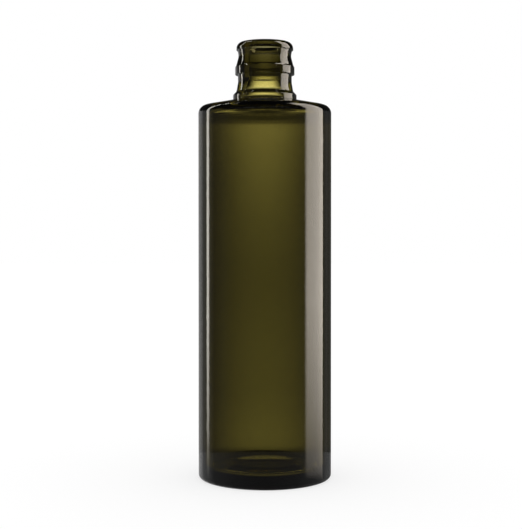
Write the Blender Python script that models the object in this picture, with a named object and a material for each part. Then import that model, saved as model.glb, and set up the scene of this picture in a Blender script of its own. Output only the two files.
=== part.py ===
# An empty olive oil bottle in dark olive green glass, turned about +Z and standing on z = 0.
# One thick-walled piece: straight round body, rounded shoulder, and a short neck with a
# collar, a snap ring and an undercut lip for a pourer. The mouth is open.
# All sizes are in metres, and radii are measured from the bottle's axis.

import math

import bmesh
import bpy
from mathutils import Vector

# Overall sizes
HEIGHT = 0.2298
BODY_RADIUS = 0.0350
WALL = 0.0057

# Foot: a flat ring to stand on, round a shallow push-up
HEEL_ROUND = 0.0022
PUSH_UP_RADIUS = 0.0260
PUSH_UP_DEPTH = 0.0045
PUSH_UP_ROUND = 0.0020

# Shoulder
SHOULDER_HEIGHT = 0.19567
SHOULDER_ROUND = 0.0044
SHOULDER_SLOPE = math.radians(10.7)

# Collar at the foot of the neck, with a bevelled top
COLLAR_RADIUS = 0.01672
COLLAR_BEVEL_FOOT = 0.20179
COLLAR_TOP = 0.20366
COLLAR_ROUND = 0.0004

# Neck, which narrows a little upwards
NECK_FOOT_RADIUS = 0.01498
NECK_RADIUS = 0.01417
NECK_TAPER_TOP = 0.20829
NECK_TAPER_ROUND = 0.0060

# Snap ring: an upright band with a sharp lower edge and a bevelled top
RING_RADIUS = 0.01561
RING_BOTTOM = 0.21244
RING_BEVEL_FOOT = 0.21643
RING_BEVEL_TOP = 0.21718
RING_BEVEL_RADIUS = 0.01508

# Waist between the ring and the lip
WAIST_RADIUS = 0.01380
WAIST_HEIGHT = 0.22205
WAIST_ROUND = 0.0040
WAIST_TOP_RADIUS = 0.01429

# Lip: a sharp undercut edge, a side that leans in, and a round top
LIP_RADIUS = 0.01498
LIP_BOTTOM = 0.2253
LIP_TOP_RADIUS = 0.01477
LIP_ROUND = 0.0035

# Mouth and bore, which widens downwards to a throat under the collar
MOUTH_ROUND = 0.0012
BORE_RADIUS = 0.00889
BORE_FOOT = 0.2112
BORE_FOOT_ROUND = 0.0080
THROAT_RADIUS = 0.01171
THROAT_HEIGHT = 0.20065
THROAT_ROUND = 0.0051

# Roof under the shoulder
ROOF_TOP_RADIUS = 0.01191
ROOF_TOP = 0.19566
ROOF_TOP_ROUND = 0.0033
ROOF_FOOT = 0.19314
ROOF_FOOT_ROUND = 0.00275

# Floor: a low gutter along the wall round a raised flat disc
GUTTER_HEIGHT = 0.0062
GUTTER_ROUND = 0.0028
GUTTER_RADIUS = 0.0215
DISC_RADIUS = 0.0166
DISC_ROUND = 0.0004
DISC_HEIGHT = 0.0087

# Facets
SEGMENTS = 72
STEPS_PER_TURN = 24
DOME_STEPS = 5
MERGE_DISTANCE = 1e-6
SMOOTH_ANGLE = math.radians(32)

# Glass
GLASS_COLOUR = (0.052, 0.047, 0.012, 1.0)
GLASS_ROUGHNESS = 0.03
GLASS_IOR = 1.52


def underside():
    """The push-up, a shallow spherical dome, from the axis out to the ring the bottle stands on."""
    sphere = (PUSH_UP_RADIUS**2 + PUSH_UP_DEPTH**2) / (2 * PUSH_UP_DEPTH)
    dome = []
    for step in range(DOME_STEPS):
        r = PUSH_UP_RADIUS * step / DOME_STEPS
        drop = sphere - math.sqrt(sphere**2 - r**2)
        dome.append((r, PUSH_UP_DEPTH - drop, 0))
    return dome + [(PUSH_UP_RADIUS, 0.0, PUSH_UP_ROUND)]


def body():
    """The heel, the straight wall and the shoulder, up to the foot of the collar."""
    rise = (BODY_RADIUS - COLLAR_RADIUS) * math.tan(SHOULDER_SLOPE)
    return [
        (BODY_RADIUS, 0.0, HEEL_ROUND),
        (BODY_RADIUS, SHOULDER_HEIGHT, SHOULDER_ROUND),
        (COLLAR_RADIUS, SHOULDER_HEIGHT + rise, 0),
    ]


def neck():
    """The collar, the neck, the snap ring and the waist."""
    return [
        (COLLAR_RADIUS, COLLAR_BEVEL_FOOT, COLLAR_ROUND),
        (NECK_FOOT_RADIUS, COLLAR_TOP, 0),
        (NECK_RADIUS, NECK_TAPER_TOP, NECK_TAPER_ROUND),
        (NECK_RADIUS, RING_BOTTOM, 0),
        (RING_RADIUS, RING_BOTTOM, 0),
        (RING_RADIUS, RING_BEVEL_FOOT, 0),
        (RING_BEVEL_RADIUS, RING_BEVEL_TOP, 0),
        (WAIST_RADIUS, WAIST_HEIGHT, WAIST_ROUND),
        (WAIST_TOP_RADIUS, LIP_BOTTOM, 0),
    ]


def lip():
    """The lip, over its round top and in to the bore."""
    return [
        (LIP_RADIUS, LIP_BOTTOM, 0),
        (LIP_TOP_RADIUS, HEIGHT, LIP_ROUND),
        (BORE_RADIUS, HEIGHT, MOUTH_ROUND),
    ]


def inside():
    """The bore, the throat, the roof, the wall, the gutter and the disc, down to the axis."""
    inner_radius = BODY_RADIUS - WALL
    return [
        (BORE_RADIUS, BORE_FOOT, BORE_FOOT_ROUND),
        (THROAT_RADIUS, THROAT_HEIGHT, THROAT_ROUND),
        (ROOF_TOP_RADIUS, ROOF_TOP, ROOF_TOP_ROUND),
        (inner_radius, ROOF_FOOT, ROOF_FOOT_ROUND),
        (inner_radius, GUTTER_HEIGHT, GUTTER_ROUND),
        (GUTTER_RADIUS, GUTTER_HEIGHT, GUTTER_ROUND),
        (DISC_RADIUS, DISC_HEIGHT, DISC_ROUND),
        (0.0, DISC_HEIGHT, 0),
    ]


def fillet(before, corner, after, radius):
    """Points on the arc of this radius that touches both sides of the corner."""
    back = (before - corner).normalized()
    on = (after - corner).normalized()
    opening = back.angle(on)
    centre = corner + (back + on).normalized() * radius / math.sin(opening / 2)
    first = corner + back * radius / math.tan(opening / 2) - centre
    last = corner + on * radius / math.tan(opening / 2) - centre
    turn = math.pi - opening
    steps = max(1, round(STEPS_PER_TURN * turn / (2 * math.pi)))
    points = []
    for step in range(steps + 1):
        angle = turn * step / steps
        points.append(centre + (first * math.sin(turn - angle) + last * math.sin(angle)) / math.sin(turn))
    return points


def outline():
    """The whole section as (r, z) points, from the middle of the underside to the floor's."""
    corners = underside() + body() + neck() + lip() + inside()
    places = [Vector((r, z)) for r, z, radius in corners]
    points = [places[0]]
    for i in range(1, len(corners) - 1):
        radius = corners[i][2]
        if radius:
            points += fillet(places[i - 1], places[i], places[i + 1], radius)
        else:
            points.append(places[i])
    return points + [places[-1]]


def turned_mesh(name, points):
    """A closed mesh made by spinning the outline once round the Z axis."""
    shape = bmesh.new()
    corners = [shape.verts.new((r, 0.0, z)) for r, z in points]
    edges = [shape.edges.new(pair) for pair in zip(corners, corners[1:])]
    bmesh.ops.spin(
        shape,
        geom=corners + edges,
        cent=(0.0, 0.0, 0.0),
        axis=(0.0, 0.0, 1.0),
        angle=2 * math.pi,
        steps=SEGMENTS,
        use_merge=True,
    )
    bmesh.ops.remove_doubles(shape, verts=shape.verts, dist=MERGE_DISTANCE)
    if shape.calc_volume(signed=True) < 0:
        bmesh.ops.reverse_faces(shape, faces=shape.faces)
    mesh = bpy.data.meshes.new(name)
    shape.to_mesh(mesh)
    shape.free()
    mesh.shade_smooth()
    mesh.set_sharp_from_angle(angle=SMOOTH_ANGLE)
    return mesh


def olive_glass():
    """Dark olive green glass."""
    material = bpy.data.materials.new("olive_glass")
    material.use_nodes = True
    shader = material.node_tree.nodes["Principled BSDF"]
    shader.inputs["Base Color"].default_value = GLASS_COLOUR
    shader.inputs["Roughness"].default_value = GLASS_ROUGHNESS
    shader.inputs["Metallic"].default_value = 0.0
    shader.inputs["IOR"].default_value = GLASS_IOR
    shader.inputs["Transmission Weight"].default_value = 1.0
    return material


def main():
    for old in list(bpy.data.objects):
        bpy.data.objects.remove(old)
    mesh = turned_mesh("bottle", outline())
    mesh.materials.append(olive_glass())
    bottle = bpy.data.objects.new("bottle", mesh)
    bpy.context.scene.collection.objects.link(bottle)


main()
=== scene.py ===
# An empty olive oil bottle in dark olive green glass, standing on a pale floor in soft studio light.
import math

import bpy
import numpy as np
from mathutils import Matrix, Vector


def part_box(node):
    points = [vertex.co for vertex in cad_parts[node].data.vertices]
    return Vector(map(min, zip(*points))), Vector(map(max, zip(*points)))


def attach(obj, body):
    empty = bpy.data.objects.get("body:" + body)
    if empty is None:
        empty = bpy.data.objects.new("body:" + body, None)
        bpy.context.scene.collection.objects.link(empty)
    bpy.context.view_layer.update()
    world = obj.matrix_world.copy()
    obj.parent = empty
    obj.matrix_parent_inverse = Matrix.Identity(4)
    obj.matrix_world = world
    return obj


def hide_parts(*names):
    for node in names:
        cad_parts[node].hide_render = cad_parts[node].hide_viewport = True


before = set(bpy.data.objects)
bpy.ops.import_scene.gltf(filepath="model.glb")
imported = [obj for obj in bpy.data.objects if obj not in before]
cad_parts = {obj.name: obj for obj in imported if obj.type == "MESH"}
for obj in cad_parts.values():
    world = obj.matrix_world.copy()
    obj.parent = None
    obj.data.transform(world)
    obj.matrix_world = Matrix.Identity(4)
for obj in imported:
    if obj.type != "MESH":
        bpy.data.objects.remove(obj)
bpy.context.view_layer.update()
lowCorner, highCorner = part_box("bottle")
print("frame loaded")


# camera: a little above the middle of the bottle, as in the photo
camera = {
    "distance": 0.650,  # from the bottle's axis
    "height": 0.13704,
    "pitchDown": math.radians(0.85),
    "lens": 83.70,  # millimetres
    "sensor": 36.0,
    "shiftX": -0.0072,
    "shiftY": -0.0533,
    "clipStart": 0.01,
}


def makeCamera(c):
    data = bpy.data.cameras.new("camera")
    data.lens = c["lens"]
    data.sensor_width = c["sensor"]
    data.shift_x = c["shiftX"]
    data.shift_y = c["shiftY"]
    data.clip_start = c["clipStart"]
    eye = bpy.data.objects.new("camera", data)
    eye.location = (0.0, -c["distance"], c["height"])
    eye.rotation_euler = (math.pi / 2 - c["pitchDown"], 0.0, 0.0)
    bpy.context.scene.collection.objects.link(eye)
    bpy.context.scene.camera = eye


makeCamera(camera)
print("camera placed")


# bottle: radii from the axis and heights from the foot, in metres
bottle = {
    "radius": (highCorner.x - lowCorner.x) / 2,
    "height": highCorner.z,
    "wall": 0.0057,
    "heelRound": 0.0022,
    "pushUpRadius": 0.0260,
    "pushUpDepth": 0.0045,
    "pushUpRound": 0.0020,
    "domeSteps": 13,  # rings of the push-up's dome
    "shoulderHeight": 0.19567,
    "shoulderRound": 0.0044,
    "shoulderSlope": math.radians(10.7),
    "collarRadius": 0.01672,
    "collarBevelFoot": 0.20179,
    "collarTop": 0.20366,
    "collarRound": 0.0004,
    "neckFootRadius": 0.01498,
    "neckRadius": 0.01417,
    "neckTaperTop": 0.20829,
    "neckTaperRound": 0.0060,
    "ringRadius": 0.01561,
    "ringBottom": 0.21244,
    "ringBevelFoot": 0.21643,
    "ringBevelTop": 0.21718,
    "ringBevelRadius": 0.01508,
    "waistRadius": 0.01380,
    "waistHeight": 0.22205,
    "waistRound": 0.0040,
    "waistTopRadius": 0.01429,
    "lipRadius": 0.01498,
    "lipBottom": 0.22530,
    "lipTopRadius": 0.01477,
    "lipRound": 0.0035,
    "edgeRound": 0.00022,
    "mouthRound": 0.0012,
    "boreRadius": 0.00889,
    "boreFoot": 0.2112,  # where the bore starts to widen
    "boreFootRound": 0.0080,
    "throatRadius": 0.01171,
    "throatHeight": 0.20065,
    "throatRound": 0.0051,
    "roofTopRadius": 0.01191,
    "roofTop": 0.19566,
    "roofTopRound": 0.0033,
    "roofFoot": 0.19314,
    "roofFootRound": 0.00275,
    "gutterHeight": 0.0062,  # lowest ring of the floor, round the raised disc
    "gutterRound": 0.0028,
    "gutterRadius": 0.0215,
    "discRadius": 0.0166,
    "discRound": 0.0004,
    "discHeight": 0.0087,
    "turns": 288,  # facets round the axis
    "arcStep": math.radians(7.5),
    "straightStep": 0.0040,
}


def filletArc(before, corner, after, radius, arcStep):
    # the arc of this radius that touches both sides of the corner: centre + radius * (cos t, sin t)
    back = (before - corner) / np.linalg.norm(before - corner)
    on = (after - corner) / np.linalg.norm(after - corner)
    opening = math.acos(float(np.clip(back @ on, -1, 1)))
    centre = corner + (back + on) / np.linalg.norm(back + on) * radius / math.sin(opening / 2)
    first = corner + back * radius / math.tan(opening / 2) - centre
    last = corner + on * radius / math.tan(opening / 2) - centre
    start = math.atan2(first[1], first[0])
    sweep = (math.atan2(last[1], last[0]) - start + math.pi) % (2 * math.pi) - math.pi
    t = start + sweep * np.linspace(0, 1, max(2, round(abs(sweep) / arcStep)) + 1)
    ray = np.stack([np.cos(t), np.sin(t)], axis=1)
    return centre + radius * ray, math.copysign(1, sweep) * ray


def sectionCurve(corners, arcStep, straightStep):
    # corners joined by straight lines, each with its round, and the long lines cut into even steps;
    # each point's normal is square to the line or arc that it is on, and halfway between both lines
    # at a plain corner
    spots = np.array([c[:2] for c in corners], float)
    arcs = [(spots[:1], np.full((1, 2), np.nan))]
    for i in range(1, len(corners) - 1):
        radius = corners[i][2]
        if radius:
            arcs.append(filletArc(spots[i - 1], spots[i], spots[i + 1], radius, arcStep))
        else:
            arcs.append((spots[i : i + 1], np.full((1, 2), np.nan)))
    arcs.append((spots[-1:], np.full((1, 2), np.nan)))
    pieces, known = [], []
    for (here, normals), (following, _) in zip(arcs, arcs[1:]):
        gap = np.linalg.norm(following[0] - here[-1])
        share = np.linspace(0, 1, max(1, round(gap / straightStep)) + 1)[1:-1, None]
        pieces += [here, here[-1] + (following[0] - here[-1]) * share]
        known += [normals, np.full((len(share), 2), np.nan)]
    points = np.concatenate(pieces + [arcs[-1][0]])
    known = np.concatenate(known + [arcs[-1][1]])
    steps = np.diff(points, axis=0)
    square = np.stack([steps[:, 1], -steps[:, 0]], axis=1) / np.linalg.norm(steps, axis=1)[:, None]
    between = np.concatenate([[[0, -1]], square[:-1] + square[1:], [[0, 1]]])
    between /= np.linalg.norm(between, axis=1)[:, None]
    return points, np.where(np.isnan(known), between, known)


def bottleCorners(b):
    # (radius, height, round) from the middle of the underside, up the outside and down the inside
    sphere = (b["pushUpRadius"] ** 2 + b["pushUpDepth"] ** 2) / (2 * b["pushUpDepth"])
    domeRadii = b["pushUpRadius"] * np.linspace(0, 1, b["domeSteps"] + 1)[:-1]
    dome = [(r, b["pushUpDepth"] - sphere + math.sqrt(sphere**2 - r**2), 0) for r in domeRadii]
    shoulderRise = (b["radius"] - b["collarRadius"]) * math.tan(b["shoulderSlope"])
    inner = b["radius"] - b["wall"]
    edge = b["edgeRound"]
    return dome + [
        (b["pushUpRadius"], 0, b["pushUpRound"]),
        (b["radius"], 0, b["heelRound"]),
        (b["radius"], b["shoulderHeight"], b["shoulderRound"]),
        (b["collarRadius"], b["shoulderHeight"] + shoulderRise, edge),
        (b["collarRadius"], b["collarBevelFoot"], b["collarRound"]),
        (b["neckFootRadius"], b["collarTop"], edge),
        (b["neckRadius"], b["neckTaperTop"], b["neckTaperRound"]),
        (b["neckRadius"], b["ringBottom"], edge),
        (b["ringRadius"], b["ringBottom"], edge),
        (b["ringRadius"], b["ringBevelFoot"], edge),
        (b["ringBevelRadius"], b["ringBevelTop"], edge),
        (b["waistRadius"], b["waistHeight"], b["waistRound"]),
        (b["waistTopRadius"], b["lipBottom"], edge),
        (b["lipRadius"], b["lipBottom"], edge),
        (b["lipTopRadius"], b["height"], b["lipRound"]),
        (b["boreRadius"], b["height"], b["mouthRound"]),
        (b["boreRadius"], b["boreFoot"], b["boreFootRound"]),
        (b["throatRadius"], b["throatHeight"], b["throatRound"]),
        (b["roofTopRadius"], b["roofTop"], b["roofTopRound"]),
        (inner, b["roofFoot"], b["roofFootRound"]),
        (inner, b["gutterHeight"], b["gutterRound"]),
        (b["gutterRadius"], b["gutterHeight"], b["gutterRound"]),
        (b["discRadius"], b["discHeight"], b["discRound"]),
        (0, b["discHeight"], 0),
    ]


def spun(ring, turns):
    # row i, column j = (r_i cos a_j, r_i sin a_j, z_i)
    angle = np.arange(turns) * 2 * math.pi / turns
    radius, height = ring[:, :1], np.repeat(ring[:, 1:], turns, axis=1)
    return np.stack([radius * np.cos(angle), radius * np.sin(angle), height], axis=2).reshape(-1, 3)


def turnedMesh(name, section, normals, turns):
    # the section turned round the axis, with one point for each pole
    poles = np.array([[0, 0, section[0, 1]], [0, 0, section[-1, 1]]])
    points = np.concatenate([spun(section[1:-1], turns), poles])
    outward = np.concatenate([spun(normals[1:-1], turns), [[0, 0, -1], [0, 0, 1]]])
    rings = len(section) - 2
    rows = np.arange(rings - 1)[:, None] * turns
    here = np.arange(turns)[None, :]
    after = (here + 1) % turns
    quads = np.stack([rows + here, rows + after, rows + turns + after, rows + turns + here], axis=2)
    first, last = len(points) - 2, len(points) - 1
    end = (rings - 1) * turns
    here, after = here[0], after[0]
    under = np.stack([np.full(turns, first), after, here], axis=1)
    floor = np.stack([np.full(turns, last), end + here, end + after], axis=1)
    mesh = bpy.data.meshes.new(name)
    faces = quads.reshape(-1, 4).tolist() + under.tolist() + floor.tolist()
    mesh.from_pydata(points.tolist(), [], faces)
    mesh.shade_smooth()
    mesh.normals_split_custom_set_from_vertices(outward.tolist())
    return mesh


white = (1.0, 1.0, 1.0)


def addNode(tree, kind, **values):
    node = tree.nodes.new(kind)
    for name, value in values.items():
        setattr(node, name, value)
    return node


# glass: the light of each colour left after d metres of it is exp(-density * (1 - passed) * d)
glass = {
    "ior": 1.52,
    "density": 400.0,
    "passed": (0.515, 0.475, 0.1125),
    "grain": 900.0,  # fine unevenness of the polish
    "roughness": (0.0, 0.015),
    "wave": 45.0,  # slow waves of the moulded surface
    "waveHeight": 0.000004,
}


def makeGlass(g):
    material = bpy.data.materials.new("oliveGlass")
    material.use_nodes = True
    tree = material.node_tree
    shader = tree.nodes["Principled BSDF"]
    shader.inputs["Base Color"].default_value = (*white, 1.0)
    shader.inputs["IOR"].default_value = g["ior"]
    shader.inputs["Transmission Weight"].default_value = 1.0
    place = addNode(tree, "ShaderNodeTexCoord")
    grain = addNode(tree, "ShaderNodeTexNoise")
    wave = addNode(tree, "ShaderNodeTexNoise")
    for noise, scale in ((grain, g["grain"]), (wave, g["wave"])):
        noise.inputs["Scale"].default_value = scale
        tree.links.new(place.outputs["Object"], noise.inputs["Vector"])
    polish = addNode(tree, "ShaderNodeMapRange")
    polish.inputs["To Min"].default_value, polish.inputs["To Max"].default_value = g["roughness"]
    tree.links.new(grain.outputs["Fac"], polish.inputs["Value"])
    tree.links.new(polish.outputs[0], shader.inputs["Roughness"])
    bump = addNode(tree, "ShaderNodeBump")
    bump.inputs["Distance"].default_value = g["waveHeight"]
    tree.links.new(wave.outputs["Fac"], bump.inputs["Height"])
    tree.links.new(bump.outputs["Normal"], shader.inputs["Normal"])
    volume = addNode(tree, "ShaderNodeVolumeAbsorption")
    volume.inputs["Color"].default_value = (*g["passed"], 1.0)
    volume.inputs["Density"].default_value = g["density"]
    tree.links.new(volume.outputs["Volume"], tree.nodes["Material Output"].inputs["Volume"])
    return material


section, normals = sectionCurve(bottleCorners(bottle), bottle["arcStep"], bottle["straightStep"])
print("section points", len(section), "triangles", 2 * bottle["turns"] * (len(section) - 2))
body = bpy.data.objects.new("glassBottle", turnedMesh("glassBottle", section, normals, bottle["turns"]))
body.data.materials.append(makeGlass(glass))
bpy.context.scene.collection.objects.link(body)
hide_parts("bottle")
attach(body, "root")
print("bottle made")


# studio: floor, a soft glow behind the bottle, and two soft boxes of light at its sides
studio = {
    "floorSize": 6.0,
    "floorColour": (0.36, 0.36, 0.36, 1.0),
    "floorRoughness": 0.9,
    "floorGlow": 0.66,  # the floor is a lit table
    "backdrop": 1.0,
    "evenGlow": 0.45,  # seen through the glass from the other sides
    "evenFrom": math.radians(33),  # away from straight behind
    "evenTo": math.radians(50),
    "evenByAngle": [(30, 1.0), (42, 0.0)],  # none of it from high up, which would light the shoulder
    "frontGlow": 0.5,  # a soft light behind the camera
    "room": 0.020,  # what the glass mirrors where no light is
    "roomTop": math.radians(9),
    "tableEdge": math.radians(-10.8),  # the glass mirrors the table below this
    "tableInGlass": 0.12,
}

# glow behind the bottle in layers: brightness against the angle above the level, in degrees, and its fall to
# the sides, edge + (1 - edge) * (1 + (turn / width)^2)^-power
glowLayers = [
    # through the body, below the level
    {"spots": [(-12.5, 0.02), (-11.2, 0.03), (-10.85, 0.10), (-10.75, 0.24), (-10.68, 0.42), (-10.6, 0.56),
               (-10.5, 0.68), (-10, 0.71), (-9.6, 0.68), (-8, 0.545), (-6, 0.52), (-4, 0.46), (-2, 0.42),
               (0, 0.32), (1.5, 0.0), (2, 0.0)],
     "edge": 0.28, "width": math.radians(10), "power": 1},
    # through the body when it is seen from above
    {"spots": [(-90, 0.35), (-62, 0.30), (-50, 0.05), (-36, 0.02), (-14, 0.02), (-11.5, 0.0), (0, 0.0),
               (10, 0.0)],
     "edge": 1.0, "width": math.radians(10), "power": 1},
    # through the body, above the level
    {"spots": [(-3, 0.0), (-2, 0.04), (0, 0.28), (1.5, 0.80), (3, 1.03), (4.0, 1.27), (4.25, 1.2),
               (4.32, 1.12), (4.37, 0.78), (4.41, 0.50), (4.46, 0.40), (4.6, 0.22), (5.4, 0.0), (6, 0.0)],
     "edge": 0.15, "width": math.radians(7), "power": 1},
    # through the shoulder and the neck
    {"spots": [(4, 0.0), (4.5, 0.06), (5.4, 0.18), (9, 0.20), (10.9, 0.15), (11.12, 0.02), (11.45, 0.04),
               (11.6, 0.10), (12.2, 0.20), (12.7, 0.75), (13.1, 1.1), (13.8, 1.3), (14.2, 1.7), (15, 3.5),
               (16, 3.6), (18, 4.6), (20, 3.0), (23, 0.0), (35, 0.0), (45, 0.4), (60, 0.1), (61, 0.1)],
     "edge": 0.0, "width": math.radians(17), "power": 2},
    # the thin line that lights the crescent in the base
    {"spots": [(10.6, 0.0), (10.85, 0.15), (10.93, 0.40), (10.97, 0.70), (11.02, 0.95), (11.07, 1.5),
               (11.10, 1.6), (11.11, 0.0), (11.3, 0.0)],
     "edge": 0.0, "width": math.radians(13), "power": 2},
]

# dim light that the sides of the glass mirror, against the angle from straight behind, positive to the right
roomByTurn = [(-180, 0.0), (-125, 0.04), (-105, 0.08), (-83, 0.06), (-76, 0.12), (-71, 0.22),
              (-58, 0.20), (-46, 0.20), (-40, 0.40), (-8, 0.40), (0, 0.06), (28, 0.05), (36, 0.05),
              (46, 0.13), (100, 0.10), (125, 0.04), (180, 0.0)]

# soft boxes: turned from straight behind the bottle, positive to the right, in degrees;
# soft is the width of each edge
softBoxes = [
    {"from": 61.0, "to": 105.1, "soft": (1.2, 7.0), "strength": 5.0, "colour": (1.0, 0.91, 0.80),
     "byAngle": [(-13, 0.0), (-11.82, 0.0), (-11.64, 0.19), (-11.1, 0.23), (-10.2, 0.36), (-8.4, 0.58),
                 (-6.1, 0.82), (-3.8, 1.0), (60, 1.0), (68, 0.0), (70, 0.0)]},
    {"from": -68.0, "to": -60.3, "soft": (2.0, 2.0), "strength": 5.0, "colour": (1.0, 0.965, 0.89),
     "byAngle": [(-13, 0.0), (-11.82, 0.0), (-11.64, 0.05), (-11.1, 0.09), (-10.5, 0.18), (-10.2, 0.28),
                 (-8.4, 0.54), (-6.1, 0.75), (-3.8, 0.92), (60, 1.0), (68, 0.0), (70, 0.0)]},
]

# a soft light behind the camera, by turn and by angle above the level
frontByTurn = [(-180, 1.0), (-160, 1.0), (-118, 0.2), (-105, 0.0), (105, 0.0), (118, 0.2), (160, 1.0),
               (180, 1.0)]
frontByAngle = [(12, 0.0), (14, 0.0), (15.5, 1.0), (18, 1.0), (19.5, 0.0), (22, 0.0)]

# how often light may turn on its way through the glass
bounces = {"all": 24, "through": 24, "mirrored": 12}


def mathNode(tree, operation, *values):
    node = addNode(tree, "ShaderNodeMath", operation=operation)
    for socket, value in zip(node.inputs, values):
        if isinstance(value, (int, float)):
            socket.default_value = value
        else:
            tree.links.new(value, socket)
    return node.outputs[0]


def angleCurve(tree, angle, spots):
    # straight lines through (angle in degrees, brightness)
    first, last = math.radians(spots[0][0]), math.radians(spots[-1][0])
    top = max(bright for turn, bright in spots)
    node = addNode(tree, "ShaderNodeFloatCurve")
    node.mapping.use_clip = False
    node.mapping.extend = "HORIZONTAL"
    line = node.mapping.curves[0]
    places = [((math.radians(turn) - first) / (last - first), bright / top) for turn, bright in spots]
    line.points[0].location = places[0]
    line.points[1].location = places[-1]
    for place in places[1:-1]:
        line.points.new(*place)
    for point in line.points:
        point.handle_type = "VECTOR"
    node.mapping.update()
    share = mathNode(tree, "MULTIPLY_ADD", angle, 1 / (last - first), -first / (last - first))
    tree.links.new(share, node.inputs["Value"])
    return mathNode(tree, "MULTIPLY", node.outputs[0], top)


def band(tree, value, low, high, softLow, softHigh):
    # 1 between two values, with an even fall outside each of them
    ends = []
    for edge, soft in ((low, softLow), (high, -softHigh)):
        step = addNode(tree, "ShaderNodeMapRange")
        tree.links.new(value, step.inputs["Value"])
        step.inputs["From Min"].default_value = edge - soft / 2
        step.inputs["From Max"].default_value = edge + soft / 2
        ends.append(step.outputs[0])
    return mathNode(tree, "MULTIPLY", *ends)


def makeWorld(s):
    world = bpy.data.worlds.new("studio")
    world.use_nodes = True
    bpy.context.scene.world = world
    tree = world.node_tree
    tree.nodes.clear()
    place = addNode(tree, "ShaderNodeTexCoord")
    axes = addNode(tree, "ShaderNodeSeparateXYZ")
    tree.links.new(place.outputs["Generated"], axes.inputs[0])
    x, y, z = axes.outputs
    side = mathNode(tree, "ARCTAN2", x, y)
    elevation = mathNode(tree, "ARCSINE", z)

    # behind the bottle the glow is in bands, and all round its other sides it is even
    turned = mathNode(tree, "ABSOLUTE", side)
    glow = 0.0
    for layer in glowLayers:
        share = mathNode(tree, "DIVIDE", turned, layer["width"])
        spread = mathNode(tree, "MULTIPLY_ADD", share, share, 1.0)
        fall = mathNode(tree, "POWER", spread, -layer["power"])
        across = mathNode(tree, "MULTIPLY_ADD", fall, 1 - layer["edge"], layer["edge"])
        glow = mathNode(tree, "MULTIPLY_ADD", angleCurve(tree, elevation, layer["spots"]), across, glow)
    around = addNode(tree, "ShaderNodeMapRange", interpolation_type="SMOOTHSTEP")
    tree.links.new(turned, around.inputs["Value"])
    around.inputs["From Min"].default_value = s["evenFrom"]
    around.inputs["From Max"].default_value = s["evenTo"]
    bands = mathNode(tree, "SUBTRACT", 1.0, around.outputs[0])
    even = mathNode(tree, "MULTIPLY", around.outputs[0], s["evenGlow"])
    even = mathNode(tree, "MULTIPLY", even, angleCurve(tree, elevation, s["evenByAngle"]))
    glow = mathNode(tree, "MULTIPLY_ADD", glow, bands, even)

    # what the glass mirrors: a dim room with brighter walls, the table, and the soft boxes
    low = mathNode(tree, "LESS_THAN", elevation, s["roomTop"])
    walls = mathNode(tree, "MULTIPLY", angleCurve(tree, side, roomByTurn), low)
    below = mathNode(tree, "LESS_THAN", elevation, s["tableEdge"])
    table = mathNode(tree, "MULTIPLY", below, s["tableInGlass"])
    room = mathNode(tree, "ADD", mathNode(tree, "ADD", walls, table), s["room"])
    lights = [(room, white)]
    frontAcross = angleCurve(tree, side, frontByTurn)
    frontUp = angleCurve(tree, elevation, frontByAngle)
    front = mathNode(tree, "MULTIPLY", frontAcross, frontUp)
    lights.append((mathNode(tree, "MULTIPLY", front, s["frontGlow"]), white))
    for box in softBoxes:
        ends = [math.radians(v) for v in (box["from"], box["to"], *box["soft"])]
        strength = mathNode(tree, "MULTIPLY", band(tree, side, *ends), box["strength"])
        fade = angleCurve(tree, elevation, box["byAngle"])
        lights.append((mathNode(tree, "MULTIPLY", strength, fade), box["colour"]))

    # each kind of ray has its own light: the picture's backdrop and the floor are plain white
    ray = addNode(tree, "ShaderNodeLightPath")
    result = addNode(tree, "ShaderNodeBackground")
    result.inputs["Color"].default_value = (s["backdrop"],) * 3 + (1.0,)
    mirrored = sumOfLights(tree, lights)
    through = sumOfLights(tree, [(glow, white)])
    for flag, light in (("Is Glossy Ray", mirrored), ("Is Transmission Ray", through)):
        mix = addNode(tree, "ShaderNodeMixShader")
        tree.links.new(ray.outputs[flag], mix.inputs[0])
        tree.links.new(result.outputs[0], mix.inputs[1])
        tree.links.new(light, mix.inputs[2])
        result = mix
    output = addNode(tree, "ShaderNodeOutputWorld")
    tree.links.new(result.outputs[0], output.inputs["Surface"])


def sumOfLights(tree, lights):
    # backgrounds added up, each with its own strength and colour
    total = None
    for strength, colour in lights:
        light = addNode(tree, "ShaderNodeBackground")
        light.inputs["Color"].default_value = (*colour, 1.0)
        tree.links.new(strength, light.inputs["Strength"])
        if total is None:
            total = light.outputs[0]
            continue
        both = addNode(tree, "ShaderNodeAddShader")
        tree.links.new(total, both.inputs[0])
        tree.links.new(light.outputs[0], both.inputs[1])
        total = both.outputs[0]
    return total


def makeFloor(s):
    half = s["floorSize"] / 2
    mesh = bpy.data.meshes.new("floor")
    corners = [(-half, -half, 0), (half, -half, 0), (half, half, 0), (-half, half, 0)]
    mesh.from_pydata(corners, [], [(0, 1, 2, 3)])
    material = bpy.data.materials.new("paleFloor")
    material.use_nodes = True
    shader = material.node_tree.nodes["Principled BSDF"]
    shader.inputs["Base Color"].default_value = s["floorColour"]
    shader.inputs["Roughness"].default_value = s["floorRoughness"]
    shader.inputs["Specular IOR Level"].default_value = 0.0
    shader.inputs["Emission Color"].default_value = (*white, 1.0)
    shader.inputs["Emission Strength"].default_value = s["floorGlow"]
    mesh.materials.append(material)
    floor = bpy.data.objects.new("floor", mesh)
    floor.visible_glossy = False
    floor.visible_transmission = False
    bpy.context.scene.collection.objects.link(floor)


makeWorld(studio)
makeFloor(studio)
bpy.context.scene.view_settings.view_transform = "Standard"
bpy.context.scene.cycles.max_bounces = bounces["all"]
bpy.context.scene.cycles.transmission_bounces = bounces["through"]
bpy.context.scene.cycles.glossy_bounces = bounces["mirrored"]
print("studio lit")
